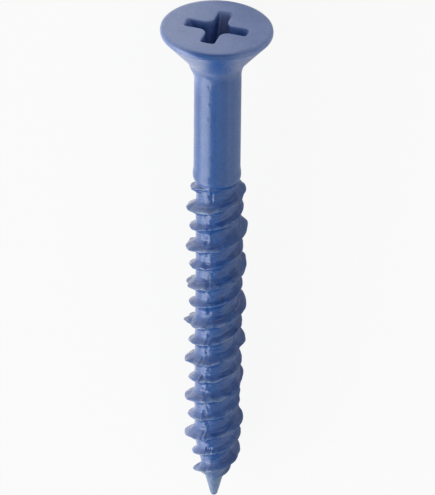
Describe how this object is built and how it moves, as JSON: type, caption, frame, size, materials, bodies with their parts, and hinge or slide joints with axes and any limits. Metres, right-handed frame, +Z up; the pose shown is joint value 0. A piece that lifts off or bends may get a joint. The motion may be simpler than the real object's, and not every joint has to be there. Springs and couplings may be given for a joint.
{
  "type": "countersunk masonry screw",
  "caption": "Coated steel screw with a flat countersunk head, cross recess, plain shank and a high and low thread running to a blunt point.",
  "frame": {"origin": "centre of the bounding box, on the floor that the screw lies on", "axes": "+X along the screw from its head to its point, +Y across it, +Z up from the floor"},
  "size_m": [0.0574, 0.0114, 0.0114],
  "materials": {
    "blue_coating": "satin blue fluoropolymer-style coating over steel"
  },
  "bodies": {
    "root": {"screw": "blue_coating"}
  },
  "joints": []
}
